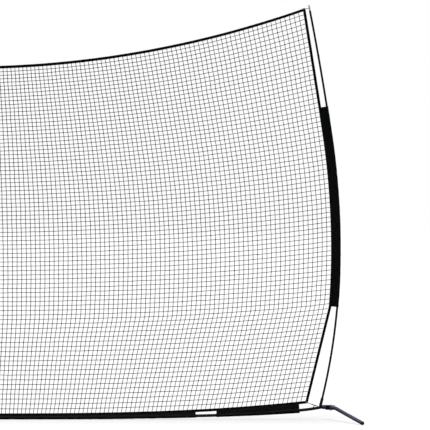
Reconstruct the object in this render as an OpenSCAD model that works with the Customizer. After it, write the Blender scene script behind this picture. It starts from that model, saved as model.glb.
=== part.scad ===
// Free-standing bow-frame rebound net: a sectional base, two bent poles that hold the net by
// its corners and its side sleeves, and two swivelling front legs.
// X runs along the base, -Y is the front, Z is up; the origin is the middle of the footprint.

/* [Frame] */
// Length along the base from its middle to the foot of a pole
socket_x = 3074; // [3060:1:3076]
// Forward lean of the net and poles from upright, in degrees
net_lean = 2; // [1:0.5:3]
// Outward lean of a pole where it leaves its socket, in degrees
pole_lean = 14.35; // [12:0.05:16]

/* [Base tubes] */
// Outer diameter of the base tubes
base_d = 25.4; // [22:0.2:27]
// Wall of the base tubes
base_wall = 1.6; // [1.2:0.1:2.4]
// Half length of the straight middle tube
middle_half = 650; // [500:10:700]
// Length of an inner tube
inner_len = 1445; // [1300:5:1500]
// Bend radius of an inner tube under the pull of the poles
inner_bend = 56000; // [40000:1000:90000]
// Length of an outer tube
outer_len = 810; // [760:5:820]
// Bend radius of an outer tube
outer_bend = 13000; // [10000:500:30000]
// Bend radius of the short end tube
end_bend = 1700; // [1500:20:3000]
// Length of a plug that joins two tubes
plug_len = 110; // [70:5:130]

/* [Poles] */
// Diameter of the pole sections
pole_d = 18; // [15:0.5:19]
// Bore of the pole sections
pole_bore = 12; // [8:0.5:13]
// Length of the lower and middle pole sections
pole_len = 1180; // [1150:5:1200]
// Length of the upper pole section
pole_top_len = 1074; // [1040:2:1080]
// Bend radius of the lower section when the net is strung
pole_bend_low = 5270; // [5000:10:5600]
// Bend radius of the middle section
pole_bend_mid = 6740; // [6400:10:7200]
// Bend radius of the upper section
pole_bend_top = 22800; // [20000:100:30000]
// Length of the metal tip above the pole
tip_len = 48; // [36:1:60]
// Diameter of the metal tip
tip_d = 13; // [12.5:0.5:15]

/* [Net] */
// Height of the net's top edge at the middle, above the base axis
net_mid = 3014; // [2900:2:3100]
// Height of the net's top corners above the base axis
net_corner = 3512; // [3480:2:3520]
// Distance of the top corners from the middle
net_top_x = 2942; // [2900:1:2950]
// Distance of the bottom corners from the middle
net_low_x = 2968; // [2930:1:2980]
// Height of the bottom corners above the base axis
net_low_rise = 124; // [110:1:140]
// Width of the webbing round the net
webbing_w = 24; // [20:1:30]
// Thickness of the webbing
webbing_t = 3; // [2:0.5:5]
// Openings across the net
net_columns = 20; // [10:2:24]
// Openings up the net
net_rows = 14; // [8:1:14]
// Thickness of a net strand
strand = 6; // [4:1:10]

/* [Sleeves] */
// Distance from the pole's centre to the inner edge of a side sleeve
side_sleeve_w = 73; // [60:1:90]
// Length along a pole where the side sleeve starts
side_sleeve_low = 880; // [700:10:950]
// Length along a pole where the side sleeve ends
side_sleeve_high = 2605; // [2450:5:2700]
// Wall of the sleeve fabric
fabric = 1.5; // [1.2:0.1:2.4]
// Half length of the middle base sleeve
mid_sleeve_half = 2006; // [1900:2:2060]
// Distance from the middle to the inner end of an end sleeve
end_sleeve_in = 2184; // [2150:2:2300]
// Distance from the middle to the outer end of an end sleeve
end_sleeve_out = 2900; // [2800:2:2903]

/* [Feet] */
// Outer diameter of a leg
leg_d = 31.8; // [30:0.2:32]
// Length of a leg from its pivot to its tip, seen from above
leg_reach = 440; // [400:5:560]
// Direction of an open leg, in degrees outward from straight ahead
leg_splay = 33; // [20:1:40]
// Distance from the hub's centre forward to the pivot
pivot_out = 37.5; // [37:0.5:42]
// Distance from the middle of the base to the pivot
pivot_x = 3165; // [3155:1:3175]
// Diameter of the pivot bolt
bolt_d = 8; // [6:1:10]
// Diameter of the hub that carries a leg
hub_d = 36; // [34:1:38]
// Bend radius of a leg
leg_bend = 140; // [120:5:240]

/* [Hidden] */
$fn = 48;

left = -1;
right = 1;
fit = 0.1;
slip = 0.4;
arc_fn = 720;
bond_len = 6;
bond_swell = 0.3;

base_bore = base_d - 2 * base_wall;
sleeve_gap = 0.6;
base_sleeve_d = base_d + 2 * sleeve_gap + 2 * fabric;
axis_z = base_sleeve_d / 2 - 0.5;
socket_bore = pole_d + slip;
socket_d = 25;
socket_len = 82;
hub_x = 3094;
hub_len = 60;
hub_wall = 4;
hub_floor = 5;

// Each step of a path is [length, bend radius], bending towards the left of travel;
// a radius of 0 is a straight.
end_len = hub_x - middle_half - inner_len - outer_len + 10;
base_path = [[middle_half, 0], [inner_len, inner_bend], [outer_len, outer_bend], [end_len, end_bend]];
pole_path = [[pole_len, pole_bend_low], [pole_len, pole_bend_mid], [pole_top_len, pole_bend_top]];
joint_at = [middle_half, middle_half + inner_len, middle_half + inner_len + outer_len];
pole_end = 2 * pole_len + pole_top_len;

function turn(step) = step[1] == 0 ? 0 : step[0] / step[1] * 180 / PI;
function step_end(step) = step[1] == 0 ? [step[0], 0] : step[1] * [sin(turn(step)), 1 - cos(turn(step))];
function turned(p, a) = [p[0] * cos(a) - p[1] * sin(a), p[0] * sin(a) + p[1] * cos(a)];
// Where a path is after a length s: [x, z, heading].
function spot(path, s, at = [0, 0], a = 0, i = 0) =
  s <= path[i][0] || i == len(path) - 1
    ? let (part = [s, path[i][1]], e = turned(step_end(part), a)) [at[0] + e[0], at[1] + e[1], a + turn(part)]
    : spot(path, s - path[i][0], at + turned(step_end(path[i]), a), a + turn(path[i]), i + 1);
// The steps of a path that lie between two lengths.
function stretch(path, a, b, i = 0, done = 0) =
  i == len(path) ? [] :
  let (lo = max(a, done), hi = min(b, done + path[i][0]))
  concat(hi - lo > 1 ? [[hi - lo, path[i][1]]] : [], stretch(path, a, b, i + 1, done + path[i][0]));

// The length along the base at which it reaches a distance x from the middle.
function base_length(x, s, tries = 4) =
  tries == 0 ? s : base_length(x, s + x - spot(base_path, s)[0], tries - 1);
function base_at(x) = spot(base_path, base_length(x, x));

// Sweeps a flat profile along a path.
module step_solid(step) {
  if (step[1] == 0)
    rotate([90, 0, 90]) linear_extrude(step[0]) children();
  else
    translate([0, 0, step[1]])
      rotate([0, 90, 0])
        rotate([90, 0, 0])
          rotate_extrude(angle = turn(step), $fn = arc_fn) translate([step[1], 0]) rotate(90) children();
}
module follow(path, i = 0) {
  if (i < len(path)) {
    step_solid(path[i]) children();
    tip = step_end(path[i]);
    translate([tip[0], 0, tip[1]]) rotate([0, -turn(path[i]), 0]) follow(path, i + 1) children();
  }
}
module at_spot(p) translate([p[0], 0, p[1]]) rotate([0, -p[2], 0]) children();
module along(path, a, b) at_spot(spot(path, a)) follow(stretch(path, a, b)) children();
module disc(d) circle(d = d, $fn = 48);
module ring(d, bore) {
  difference() {
    disc(d);
    disc(bore);
  }
}

// The leaning plane that holds the base, the poles and the net.
hub = [hub_x, base_at(hub_x)[1]];
hub_y = -hub[1] * sin(net_lean);
hub_z = axis_z + hub[1] * cos(net_lean);
pivot_y = hub_y - pivot_out;
tip_r = leg_d / 2;
front_y = pivot_y - leg_reach * cos(leg_splay) - tip_r;
rear_y = hub_y + hub_d / 2;
centre_y = -(front_y + rear_y) / 2;
module stand() translate([0, centre_y, 0]) children();
module plane() stand() translate([0, 0, axis_z]) rotate([net_lean, 0, 0]) children();
module side(s) {
  if (s == left)
    mirror([1, 0, 0]) children();
  else
    children();
}
module both() {
  children();
  mirror([1, 0, 0]) children();
}

// Pole: its path starts on the base axis, at the socket.
socket_foot = [socket_x, base_at(socket_x)[1], 90 - pole_lean];
pole_foot = base_d / 2 + 6;
module pole_frame() at_spot(socket_foot) children();
function pole_spot(s, inward = 0) =
  let (p = spot(pole_path, s), q = p + [-sin(p[2]), cos(p[2]), 0] * inward, w = turned(q, socket_foot[2]))
  [socket_foot[0] + w[0], socket_foot[1] + w[1]];

// Net outline: a sagging curve above, a rising one below, and sides that follow the sleeves.
top_power = 2.06;
function top_z(x) = net_mid + (net_corner - net_mid) * pow(abs(x) / net_top_x, top_power);
low_mid = base_d / 2 + 1;
function low_z(x) = low_mid + (net_low_rise - low_mid) * pow(abs(x) / net_low_x, 3);
edge_in = side_sleeve_w - webbing_w;
side_steps = 16;
sleeve_edge = [for (i = [0:side_steps])
  pole_spot(side_sleeve_low + (side_sleeve_high - side_sleeve_low) * i / side_steps, edge_in)];
function beyond(p, q, d) = q + (q - p) / norm(q - p) * d;
low_corner = [net_low_x, net_low_rise];
top_corner = [net_top_x, net_corner];
side_edge = concat([beyond(sleeve_edge[0], low_corner, 160)], sleeve_edge,
  [beyond(sleeve_edge[side_steps], top_corner, 60)]);
side_table = [for (p = side_edge) [p[1], p[0]]];
function side_x(z) = lookup(z, side_table);
curve_steps = 48;
function across(i) = (2 * i / curve_steps - 1) * (net_low_x + 250);
function left_of(points) = [for (i = [len(points) - 1:-1:0]) [-points[i][0], points[i][1]]];
function shifted(points, dx) = [for (p = points) p + [dx, 0]];

module inside_sides(inset) polygon(concat(shifted(side_edge, -inset), left_of(shifted(side_edge, -inset))));
module between_edges(inset) {
  polygon(concat([for (i = [0:curve_steps]) [across(i), low_z(across(i)) + inset]],
    [for (i = [curve_steps:-1:0]) [across(i), top_z(across(i)) - inset]]));
}
module flat(t) rotate([90, 0, 0]) translate([0, 0, -t / 2]) linear_extrude(t) children();

function net_point(u, v) =
  let (z = (1 - v) * low_z(u * net_low_x) + v * top_z(u * net_top_x),
    edge = side_x(net_low_rise + (net_corner - net_low_rise) * v))
  [u * (edge - webbing_w), z + (1 - 2 * v) * webbing_w];
module net_cell(i, j) {
  u0 = 2 * i / net_columns - 1;
  u1 = 2 * (i + 1) / net_columns - 1;
  v0 = j / net_rows;
  v1 = (j + 1) / net_rows;
  h = strand / 2;
  polygon([net_point(u0, v0) + [h, h], net_point(u1, v0) + [-h, h],
    net_point(u1, v1) + [-h, -h], net_point(u0, v1) + [h, -h]]);
}
module net_panel() {
  color("dimgray") plane() flat(webbing_t) difference() {
    intersection() {
      inside_sides(webbing_w);
      between_edges(webbing_w);
    }
    for (i = [0:net_columns - 1], j = [0:net_rows - 1])
      net_cell(i, j);
  }
}

grommet_in = 11;
grommet_d = 16;
grommet_bore = 8;
top_grommet = top_corner + [-grommet_in - 3, -grommet_in];
low_grommet = low_corner + [-grommet_in - 1, grommet_in];
module grommet_holes() {
  for (g = [top_grommet, low_grommet], s = [left, right])
    translate([s * g[0], g[1]]) disc(grommet_bore);
}
module top_webbing() {
  color("black") plane() flat(webbing_t) difference() {
    intersection() {
      inside_sides(0);
      difference() {
        between_edges(0);
        translate([0, -webbing_w]) between_edges(0);
      }
    }
    grommet_holes();
  }
}
module bottom_webbing() {
  color("black") plane() flat(webbing_t) difference() {
    intersection() {
      inside_sides(0);
      difference() {
        between_edges(0);
        translate([0, webbing_w]) between_edges(0);
      }
    }
    grommet_holes();
  }
}
module side_webbing(s) {
  color("black") plane() side(s) flat(webbing_t) intersection() {
    difference() {
      inside_sides(0);
      inside_sides(webbing_w);
    }
    between_edges(webbing_w);
    translate([0, -500]) square(5000);
  }
}
module corner_grommets() {
  color("gray") plane() both() for (g = [top_grommet, low_grommet])
    translate([g[0], 0, g[1]]) rotate([90, 0, 0]) for (face = [-1, 1])
      translate([0, 0, face * (webbing_t / 2 + 0.5)]) rotate_extrude() translate([grommet_bore / 2, -0.5])
        square([(grommet_d - grommet_bore) / 2, 1]);
}

// A loop of elastic cord through two holes, centres given in the net's plane.
module elastic_loop(a, b, width, d) {
  span = norm(b - a);
  bend = width / 2;
  translate([a[0], 0, a[1]]) rotate([0, -atan2(b[1] - a[1], b[0] - a[0]), 0]) translate([bend, 0, 0]) {
    rotate([0, 0, 90]) rotate_extrude(angle = 180) translate([bend, 0]) disc(d);
    translate([span - width, 0, 0])
      rotate([0, 0, -90]) rotate_extrude(angle = 180) translate([bend, 0]) disc(d);
    for (y = [-bend, bend])
      translate([0, y, 0]) rotate([0, 90, 0]) cylinder(h = span - width, d = d);
  }
}

module base_tube(a, b) along(base_path, a, b) ring(base_d, base_bore);
module base_middle_tube() {
  color("black") plane() rotate([0, 90, 0]) difference() {
    cylinder(h = 2 * middle_half, d = base_d, center = true);
    cylinder(h = 2 * middle_half + 2, d = base_bore, center = true);
  }
}
module base_inner_tube(s) color("black") plane() side(s) base_tube(joint_at[0], joint_at[1]);
button_at = joint_at[1] + plug_len / 4;
button_d = 7.5;
button_out = 3;
module button_hole() at_spot(spot(base_path, button_at)) cylinder(h = base_d, d = button_d + 2 * fit);
module base_outer_tube(s) {
  color("black") plane() side(s) difference() {
    base_tube(joint_at[1], joint_at[2]);
    button_hole();
  }
}
module base_end_tube(s) {
  color("black") plane() side(s) difference() {
    base_tube(joint_at[2], joint_at[2] + end_len);
    translate([hub_x, -base_d, 0]) cube([base_d, 2 * base_d, hub[1] + base_d]);
  }
}
plug_d = base_bore - 2 * slip;
plug_wall = 1.5;
end_plug_len = 64;
module plug_blank(s, l) {
  at_spot(spot(base_path, s)) rotate([0, 90, 0]) difference() {
    cylinder(h = l, d = plug_d, center = true);
    cylinder(h = l + 2, d = plug_d - 2 * plug_wall, center = true);
  }
}
module base_joint_plugs() {
  color("silver") plane() both() {
    plug_blank(joint_at[0], plug_len);
    difference() {
      plug_blank(joint_at[1], plug_len);
      button_hole();
    }
    plug_blank(joint_at[2], end_plug_len);
  }
}

button_top = base_d / 2 + button_out;
button_low = plug_d / 2 - plug_wall - 1;
module snap_button(s) {
  h = button_top - button_low;
  r = button_d / 2;
  color("silver") plane() side(s) at_spot(spot(base_path, button_at)) translate([0, 0, button_low])
    rotate_extrude() polygon([[0, 0], [r, 0], [r, h - 1.5], [r - 0.5, h - 0.6], [r - 1.5, h], [0, h]]);
}
spring_t = 0.8;
spring_w = 7;
spring_len = 44;
module snap_spring(s) {
  low = plug_wall - plug_d / 2 + 1.5;
  fold_x = -spring_len;
  color("silver") plane() side(s) at_spot(spot(base_path, button_at)) rotate([90, 0, 0])
    translate([0, 0, -spring_w / 2]) linear_extrude(spring_w)
      polygon([[6, button_low], [-6, button_low], [fold_x + 4, 1.5], [fold_x, 0], [fold_x + 4, -1.5],
        [6, low], [6, low + spring_t], [fold_x + 5, -0.7], [fold_x + 3, 0], [fold_x + 5, 0.7],
        [-6, button_low - spring_t], [6, button_low - spring_t]]);
}

// A socket is straight and stands in line with the middle of the pole inside it.
module socket_blank(l, d) {
  mid = (pole_foot + socket_len) / 2;
  pole_frame() at_spot(spot(pole_path, mid)) translate([-mid, 0, 0])
    rotate([0, 90, 0]) cylinder(h = l, d = d);
}
module pole_socket(s) {
  color("black") plane() side(s) difference() {
    socket_blank(socket_len, socket_d);
    socket_blank(socket_len + 1, socket_bore);
    along(base_path, joint_at[2], joint_at[2] + end_len) disc(base_d);
  }
}
hook_x = 3036;
hook_r = 20;
hook_d = 6;
hook_rise = 15;
hook_z = base_at(hook_x)[1] + base_d / 2 + hook_rise - hook_d / 2 - hook_r;
module base_hooks() {
  color("gray") plane() both() difference() {
    translate([hook_x, 0, hook_z])
      rotate([90, 0, 0]) rotate_extrude(angle = 180) translate([hook_r, 0]) disc(hook_d);
    along(base_path, joint_at[2], joint_at[2] + end_len) disc(base_d);
  }
}

module pole_piece(a, b) pole_frame() along(pole_path, a, b) ring(pole_d, pole_bore);
module pole_lower(s) color("black") plane() side(s) pole_piece(pole_foot, pole_len);
module pole_middle(s) color("black") plane() side(s) pole_piece(pole_len, 2 * pole_len);
module pole_upper(s) color("black") plane() side(s) pole_piece(2 * pole_len, pole_end);
spigot_d = pole_bore - 1;
spigot_len = 110;
module pole_spigots() {
  color("silver") plane() both() pole_frame() for (s = [pole_len, 2 * pole_len])
    at_spot(spot(pole_path, s)) rotate([0, 90, 0]) cylinder(h = spigot_len, d = spigot_d, center = true);
}
groove_at = 22;
groove_d = 9;
module pole_tip(s) {
  color("silver") plane() side(s) pole_frame() at_spot(spot(pole_path, pole_end)) rotate([0, 90, 0])
    rotate_extrude() polygon([[0, -40], [spigot_d / 2, -40], [spigot_d / 2, 0], [tip_d / 2, 0],
      [tip_d / 2, groove_at - 4], [groove_d / 2, groove_at - 2.5], [groove_d / 2, groove_at + 2.5],
      [tip_d / 2, groove_at + 4], [tip_d / 2, tip_len - 4], [tip_d / 2 - 1.5, tip_len - 1], [0, tip_len]]);
}
elastic_d = 5;
tip_heading = spot(pole_path, pole_end)[2] + socket_foot[2];
tip_groove = pole_spot(pole_end) + turned([groove_at, 0], tip_heading);
module top_elastic(s) {
  width = groove_d + elastic_d + slip;
  color("tan") plane() side(s)
    elastic_loop(top_grommet, beyond(top_grommet, tip_groove, width / 2), width, elastic_d);
}
module bottom_elastic(s) {
  under_hook = [hook_x, hook_z + hook_r - (hook_d + elastic_d + slip) / 2];
  color("tan") plane() side(s)
    elastic_loop(low_grommet, under_hook, hook_d + elastic_d + 1, elastic_d);
}

// Sleeves: fabric folded round a tube or pole and sewn to both faces of the webbing. A half
// section is [outer points, inner points], from the fold's back to its sewn edge.
fold_turns = [-90, -75, -48, -20, 8, 35, 62];
function fold_arc(r) = [for (a = fold_turns) r * [cos(a), sin(a)]];
function fold(r, neck, sewn) =
  let (u = webbing_t / 2)
  [concat(fold_arc(r + fabric), [[u + fabric, neck + 0.5], [u + fabric, sewn]]),
    concat(fold_arc(r), [[u, neck], [u, sewn]])];
function mirrored(p) = [-p[0], p[1]];
function fold_loop(half) =
  let (n = len(half[0]) - 1)
  concat(half[0], [for (k = [n:-1:0]) half[1][k]], [for (k = [1:n]) mirrored(half[1][k])],
    [for (k = [n:-1:1]) mirrored(half[0][k])]);
function lifted(q, station) =
  let (a = station[2])
  [station[0] - q[1] * sin(a), q[0], station[1] + q[1] * cos(a)];
floor_reach = 0.6;
// Flattens what would press into the ground.
function floored(p) =
  let (z = -(axis_z + p[1] * sin(net_lean)) / cos(net_lean))
  abs(p[2] - z) < floor_reach ? [p[0], p[1], z] : p;
module folded_sleeve(stations) {
  count = len(fold_turns) + 2;
  loop = 4 * count - 2;
  last = len(stations) - 1;
  function outer(k) = k;
  function inner(k) = 2 * count - 1 - k;
  function far_inner(k) = 2 * count - 1 + k;
  function far_outer(k) = (loop - k) % loop;
  points = [for (st = stations) for (q = fold_loop(st[3])) floored(lifted(q, st))];
  walls = [for (j = [0:last - 1], k = [0:loop - 1])
    let (a = j * loop + k, b = j * loop + (k + 1) % loop)
    each [[a, b, b + loop], [a, b + loop, a + loop]]];
  first = [for (k = [0:count - 2]) each [
    [outer(k), inner(k), inner(k + 1)], [outer(k), inner(k + 1), outer(k + 1)],
    [far_outer(k), far_inner(k + 1), far_inner(k)], [far_outer(k), far_outer(k + 1), far_inner(k + 1)]]];
  end = [for (f = first) [for (i = [2:-1:0]) f[i] + last * loop]];
  polyhedron(points, concat(walls, first, end));
}
side_neck = 30;
side_spans = 16;
module side_sleeve(s) {
  half = fold(pole_d / 2 + sleeve_gap, side_neck, side_sleeve_w);
  color("black") plane() side(s) folded_sleeve([for (i = [0:side_spans])
    let (at = side_sleeve_low + (side_sleeve_high - side_sleeve_low) * i / side_spans, p = pole_spot(at))
    [p[0], p[1], spot(pole_path, at)[2] + socket_foot[2], half]]);
}
sleeve_lap = 14;
// One station of a base sleeve, at a length along the base that is negative on the left.
function base_station(at) =
  let (p = spot(base_path, abs(at)), rise = low_z(p[0]) - p[1])
  [sign(at) * p[0], p[1], sign(at) * p[2], fold(base_d / 2 + sleeve_gap, rise + 1, rise + sleeve_lap)];
end_spans = 6;
module base_sleeve(s) {
  color("black") plane() side(s) folded_sleeve([for (i = [0:end_spans])
    base_station(end_sleeve_in + (end_sleeve_out - end_sleeve_in) * i / end_spans)]);
}
mid_spans = 7;
mid_outer = [for (i = [0:mid_spans]) middle_half + (mid_sleeve_half - middle_half) * i / mid_spans];
module base_sleeve_middle() {
  stops = concat([for (i = [mid_spans:-1:0]) -mid_outer[i]], mid_outer);
  color("black") plane() folded_sleeve([for (at = stops) base_station(at)]);
}

// Foot: a hub on the base end, two cheeks, and a leg that swings on an upright bolt.
cheek_t = 3;
cheek_gap = leg_d + 1;
module at_hub(s) stand() side(s) translate([0, hub_y, hub_z]) children();
module at_pivot(s) stand() side(s) translate([pivot_x, pivot_y, hub_z]) children();
cheek_r = 16.5;
cheek_in = -45;
// The pin that stops an open leg, beside it.
stop_d = 8;
stop_rim = 8.5;
stop_along = 21;
stop_beside = leg_d / 2 + stop_d / 2 + 0.3;
stop_at = [stop_along * sin(leg_splay) + stop_beside * cos(leg_splay),
  stop_beside * sin(leg_splay) - stop_along * cos(leg_splay)];
module cheek_outline() {
  hub_end = hub_x + hub_len - pivot_x - 1;
  circle(r = cheek_r);
  translate(stop_at) circle(r = stop_rim);
  polygon([[cheek_in, pivot_out], [cheek_in, -6], [0, -cheek_r], stop_at - [0, stop_rim],
    stop_at + [stop_rim, 0], [cheek_r, 12], [hub_end, cheek_r], [hub_end, pivot_out]]);
}
module foot_hub(s) {
  color("dimgray") difference() {
    union() {
      at_hub(s) translate([hub_x, 0, 0]) rotate([0, 90, 0]) cylinder(h = hub_len, d = hub_d);
      at_pivot(s) for (low = [cheek_gap / 2, -cheek_gap / 2 - cheek_t])
        translate([0, 0, low]) linear_extrude(cheek_t) cheek_outline();
      at_pivot(s) translate(stop_at) cylinder(h = cheek_gap + 2, d = stop_d, center = true);
    }
    at_hub(s) translate([hub_x + hub_floor, 0, 0])
      rotate([0, 90, 0]) cylinder(h = hub_len, d = hub_d - 2 * hub_wall);
    at_pivot(s) cylinder(h = 2 * hub_d, d = bolt_d + 2 * fit, center = true);
  }
}
cap_plug = 14;
cap_rise = 4.5;
module hub_caps() {
  r = hub_d / 2;
  inside = r - hub_wall - 0.1;
  color("black") for (s = [left, right]) at_hub(s) translate([hub_x + hub_len, 0, 0]) rotate([0, 90, 0])
    rotate_extrude()
      polygon([[0, -cap_plug], [inside, -cap_plug], [inside, 0], [r, 0], [r - 1, cap_rise - 2],
        [r - 6, cap_rise - 0.5], [0, cap_rise]]);
}
head_h = 5.3;
head_af = 13;
washer_t = 1.6;
washer_d = 16;
bolt_tail = 12;
nut_h = 6.5;
nut_collar = 2;
cheek_top = cheek_gap / 2 + cheek_t;
module pivot_bolts() {
  color("silver") for (s = [left, right]) at_pivot(s) {
    translate([0, 0, cheek_top + washer_t]) cylinder(h = head_h, d = head_af / cos(30), $fn = 6);
    translate([0, 0, cheek_top]) cylinder(h = washer_t, d = washer_d);
    translate([0, 0, -cheek_top - bolt_tail]) cylinder(h = 2 * cheek_top + bolt_tail + washer_t, d = bolt_d);
  }
}
module pivot_nuts() {
  color("silver") for (s = [left, right]) at_pivot(s) translate([0, 0, -cheek_top]) difference() {
    union() {
      translate([0, 0, -washer_t]) cylinder(h = washer_t, d = washer_d);
      translate([0, 0, -washer_t - nut_h]) cylinder(h = nut_h, d = head_af / cos(30), $fn = 6);
      translate([0, 0, -washer_t - nut_h - nut_collar]) cylinder(h = nut_collar, d = head_af - 1);
    }
    cylinder(h = 2 * bolt_tail, d = bolt_d + fit, center = true);
  }
}
leg_wall = 1.8;
leg_straight = 48;
leg_butt = 9;
// The slope that brings the tip's dome down to the ground.
leg_run = leg_reach - leg_straight;
leg_fall = hub_z - tip_r - leg_bend;
leg_drop = atan2(leg_fall, leg_run) + asin(leg_bend / norm([leg_run, leg_fall]));
bend_x = leg_bend * sin(leg_drop);
bend_z = leg_bend * (1 - cos(leg_drop));
leg_rest = (leg_run - bend_x) / cos(leg_drop);
tip_drop = bend_z + leg_rest * sin(leg_drop);
bush_d = 12;
// Carries its children along an open leg, +X towards the tip.
module at_leg(s) at_pivot(s) rotate([0, 0, leg_splay - 90]) children();
module leg_slope() translate([leg_straight + bend_x, 0, -bend_z]) rotate([0, leg_drop, 0]) children();
// A slight swelling where a straight of the leg meets its bend.
module bond(d) cylinder(h = bond_len, d = d + bond_swell, center = true);
module leg_solid(d, back) {
  translate([-back, 0, 0]) rotate([0, 90, 0]) cylinder(h = leg_straight + back, d = d);
  translate([leg_straight, 0, -leg_bend]) rotate([90, 0, 0]) rotate([0, 0, 90 - leg_drop])
    rotate_extrude(angle = leg_drop, $fn = arc_fn) translate([leg_bend, 0]) disc(d);
  leg_slope() rotate([0, 90, 0]) cylinder(h = leg_rest, d = d);
  translate([leg_straight, 0, 0]) rotate([0, 90, 0]) bond(d);
  leg_slope() rotate([0, 90, 0]) bond(d);
}
module foot_leg(s) {
  color("slategray") at_leg(s) difference() {
    leg_solid(leg_d, leg_butt);
    leg_solid(leg_d - 2 * leg_wall, leg_butt + 1);
    cylinder(h = 2 * leg_d, d = bush_d, center = true);
  }
}
module leg_bush(s) {
  color("silver") at_leg(s) difference() {
    cylinder(h = leg_d, d = bush_d - fit, center = true);
    cylinder(h = leg_d + 1, d = bolt_d + 2 * fit, center = true);
  }
}
module leg_plug(s) {
  color("black") at_leg(s) translate([-leg_butt, 0, 0]) rotate([0, 90, 0]) rotate_extrude()
    polygon([[0, -1.5], [leg_d / 2 - 2.5, -1.5], [leg_d / 2, 0], [leg_d / 2 - leg_wall - 0.1, 0],
      [leg_d / 2 - leg_wall - 0.1, 3], [0, 3]]);
}
module leg_tip(s) {
  inside = leg_d / 2 - leg_wall - 0.1;
  color("black") at_leg(s) leg_slope() translate([leg_rest, 0, 0]) rotate([0, 90, 0]) rotate_extrude() {
    translate([0, -25]) square([inside, 25.1]);
    intersection() {
      circle(r = tip_r);
      square(2 * tip_r);
    }
  }
}

base_middle_tube();
base_inner_tube(left);  // base_inner_tube_left
base_inner_tube(right);  // base_inner_tube_right
base_outer_tube(left);  // base_outer_tube_left
base_outer_tube(right);  // base_outer_tube_right
base_end_tube(left);  // base_end_tube_left
base_end_tube(right);  // base_end_tube_right
base_joint_plugs();
snap_button(left);  // snap_button_left
snap_button(right);  // snap_button_right
snap_spring(left);  // snap_spring_left
snap_spring(right);  // snap_spring_right
pole_socket(left);  // pole_socket_left
pole_socket(right);  // pole_socket_right
base_hooks();
foot_hub(left);  // foot_hub_left
foot_hub(right);  // foot_hub_right
hub_caps();
pivot_bolts();
pivot_nuts();
foot_leg(left);  // foot_leg_left
foot_leg(right);  // foot_leg_right
leg_bush(left);  // leg_bush_left
leg_bush(right);  // leg_bush_right
leg_plug(left);  // leg_plug_left
leg_plug(right);  // leg_plug_right
leg_tip(left);  // leg_tip_left
leg_tip(right);  // leg_tip_right
pole_lower(left);  // pole_lower_left
pole_lower(right);  // pole_lower_right
pole_middle(left);  // pole_middle_left
pole_middle(right);  // pole_middle_right
pole_upper(left);  // pole_upper_left
pole_upper(right);  // pole_upper_right
pole_spigots();
pole_tip(left);  // pole_tip_left
pole_tip(right);  // pole_tip_right
net_panel();
top_webbing();
bottom_webbing();
side_webbing(left);  // side_webbing_left
side_webbing(right);  // side_webbing_right
side_sleeve(left);  // side_sleeve_left
side_sleeve(right);  // side_sleeve_right
base_sleeve_middle();
base_sleeve(left);  // base_sleeve_left
base_sleeve(right);  // base_sleeve_right
corner_grommets();
top_elastic(left);  // top_elastic_left
top_elastic(right);  // top_elastic_right
bottom_elastic(left);  // bottom_elastic_left
bottom_elastic(right);  // bottom_elastic_right
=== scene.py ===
"""Dresses the wide rebound net: its knotted mesh, tapes, sewn sleeves and elastic loops, and the finish
of its tubes, poles and feet. Everything is in metres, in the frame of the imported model."""

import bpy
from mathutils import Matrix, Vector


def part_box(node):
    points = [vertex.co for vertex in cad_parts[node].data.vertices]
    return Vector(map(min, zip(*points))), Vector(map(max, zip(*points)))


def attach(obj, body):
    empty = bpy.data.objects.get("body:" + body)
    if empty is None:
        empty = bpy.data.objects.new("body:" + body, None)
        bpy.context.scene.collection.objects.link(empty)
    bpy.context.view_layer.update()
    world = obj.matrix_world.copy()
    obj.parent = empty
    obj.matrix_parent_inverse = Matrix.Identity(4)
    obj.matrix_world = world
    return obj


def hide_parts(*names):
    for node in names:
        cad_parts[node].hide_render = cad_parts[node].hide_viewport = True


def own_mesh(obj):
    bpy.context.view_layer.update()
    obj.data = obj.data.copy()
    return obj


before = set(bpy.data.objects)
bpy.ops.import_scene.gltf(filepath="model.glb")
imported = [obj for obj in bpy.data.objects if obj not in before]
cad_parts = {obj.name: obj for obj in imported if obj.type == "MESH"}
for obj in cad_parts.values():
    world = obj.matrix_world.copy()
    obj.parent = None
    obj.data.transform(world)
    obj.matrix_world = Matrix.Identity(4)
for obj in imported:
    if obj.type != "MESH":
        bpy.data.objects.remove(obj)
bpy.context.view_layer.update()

import math
import random

import bpy
from mathutils import Matrix, Vector, noise

bl_info = {
    "name": "Rebound Net",
    "version": (1, 0, 0),
    "blender": (4, 5, 0),
    "location": "View3D > Sidebar > Rebound Net",
    "description": "Adds the cloth, net and finishes of a wide bow-frame rebound net",
    "category": "Add Mesh",
}

# The frame's own shape, as its tubes are bent. A path is a row of (length, bend radius).
LEAN = math.radians(2)
BASE_PATH = ((0.650, 0), (1.445, 56.0), (0.810, 13.0), (0.199, 1.70))
POLE_PATH = ((1.180, 5.27), (1.180, 6.74), (1.074, 22.8))
SOCKET_X = 3.074
SOCKET_SLOPE = math.radians(75.65)
POLE_RADIUS = 0.009
TIP_GROOVE = 0.022
TIP_GROOVE_RADIUS = 0.0045
HOOK_X = 3.036
HOOK_RISE = 0.015
HOOK_WIRE = 0.003
CORD_GAP = 0.0002
# The net's outline, in its leaning plane, from the base tube's middle.
TOP_MIDDLE = 3.014
TOP_CORNER = Vector((2.942, 3.512))
TOP_POWER = 2.06
LOW_MIDDLE = 0.0137
LOW_CORNER = Vector((2.968, 0.124))
GROMMET_INSET = 0.011
TAPE_WIDTH = 0.024
TAPE_HALF = 0.0015
# Where the sleeves start and end along their pole or tube.
SIDE_SLEEVE = (0.880, 2.605)
SIDE_SLEEVE_WIDTH = 0.073
MIDDLE_SLEEVE = 2.006
END_SLEEVE = (2.184, 2.900)
# The flat lengths of the tapes along the net's top and bottom.
TOP_TAPE = 6.02
BOTTOM_TAPE = 5.94
LEFT, RIGHT = -1, 1
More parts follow.
